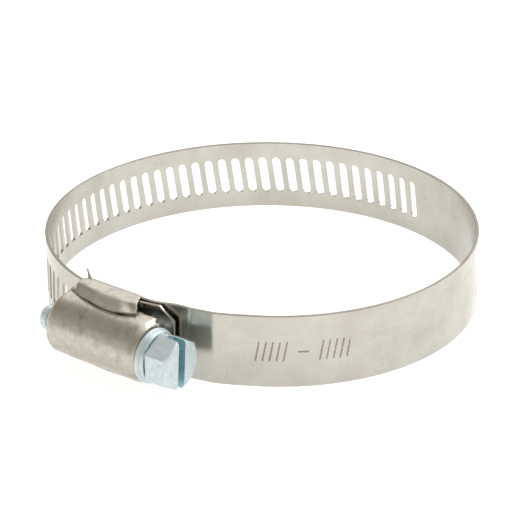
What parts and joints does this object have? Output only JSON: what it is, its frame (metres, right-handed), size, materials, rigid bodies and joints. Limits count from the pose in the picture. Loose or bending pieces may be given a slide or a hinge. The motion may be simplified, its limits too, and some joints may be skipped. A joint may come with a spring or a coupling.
{
  "type": "worm-drive hose clamp",
  "caption": "Worm-drive hose clamp: perforated steel band ring closed by a slotted hex screw in a barrel housing.",
  "frame": {"origin": "under the middle of the whole clamp, level with its lowest face, the saddle's lower ear", "axes": "+Z across the band's width, along the hose's axis; the housing is on the -Y side; the screw lies along X with its head at +X"},
  "size_m": [0.074, 0.0794, 0.0142],
  "materials": {
    "band_steel": "satin cold-rolled stainless strip",
    "housing_steel": "satin pressed stainless sheet",
    "screw_zinc": "bright blue-white zinc plating"
  },
  "bodies": {
    "housing": {"housing_barrel": "housing_steel", "saddle": "housing_steel"},
    "screw": {"worm_screw": "screw_zinc"},
    "band_feed": {"band_slotted_feed": "band_steel"},
    "band_1": {"band_segment_1": "band_steel"},
    "band_2": {"band_segment_2": "band_steel"},
    "band_3": {"band_segment_3": "band_steel"},
    "band_4": {"band_segment_4": "band_steel"},
    "band_5": {"band_segment_5": "band_steel"},
    "band_6": {"band_segment_6": "band_steel"},
    "band_tongue": {"band_plain_tongue": "band_steel"}
  },
  "joints": [
    {"name": "screw_turn", "type": "hinge", "parent": "housing", "child": "screw", "pos_m": [-0.00009, -0.03512, 0.0071], "axis": [-1, 0, 0], "range_deg": [0, 5400]},
    {"name": "band_travel", "type": "hinge", "parent": "housing", "child": "band_feed", "pos_m": [-0.00309, 0.00188, 0.0071], "axis": [0, 0, 1], "range_deg": [0, 64.98]},
    {"name": "band_flex_1", "type": "hinge", "parent": "band_feed", "child": "band_1", "pos_m": [-0.03661, -0.00041, 0.0071], "axis": [0, 0, 1], "range_deg": [-11.05, 0]},
    {"name": "band_flex_2", "type": "hinge", "parent": "band_1", "child": "band_2", "pos_m": [-0.03582, 0.00968, 0.0071], "axis": [0, 0, 1], "range_deg": [-8.52, 0]},
    {"name": "band_flex_3", "type": "hinge", "parent": "band_2", "child": "band_3", "pos_m": [-0.02277, 0.03092, 0.0071], "axis": [0, 0, 1], "range_deg": [-4.62, 0]},
    {"name": "band_flex_4", "type": "hinge", "parent": "band_3", "child": "band_4", "pos_m": [0.00823, 0.03869, 0.0071], "axis": [0, 0, 1], "range_deg": [-5.92, 0]},
    {"name": "band_flex_5", "type": "hinge", "parent": "band_4", "child": "band_5", "pos_m": [0.02313, 0.0318, 0.0071], "axis": [0, 0, 1], "range_deg": [-8.91, 0]},
    {"name": "band_flex_6", "type": "hinge", "parent": "band_5", "child": "band_6", "pos_m": [0.03426, 0.0171, 0.0071], "axis": [0, 0, 1], "range_deg": [-12.74, 0]},
    {"name": "band_flex_7", "type": "hinge", "parent": "band_6", "child": "band_tongue", "pos_m": [0.00641, -0.02907, 0.0071], "axis": [0, 0, 1], "range_deg": [-13.26, 0]}
  ],
  "couplings": [
    {"joint": "band_travel", "follows": "screw_turn", "ratio": 0.012031},
    {"joint": "band_flex_1", "follows": "screw_turn", "ratio": -0.0020453},
    {"joint": "band_flex_2", "follows": "screw_turn", "ratio": -0.0015761},
    {"joint": "band_flex_3", "follows": "screw_turn", "ratio": -0.00085423},
    {"joint": "band_flex_4", "follows": "screw_turn", "ratio": -0.0010949},
    {"joint": "band_flex_5", "follows": "screw_turn", "ratio": -0.0016483},
    {"joint": "band_flex_6", "follows": "screw_turn", "ratio": -0.0023581},
    {"joint": "band_flex_7", "follows": "screw_turn", "ratio": -0.0024544}
  ]
}
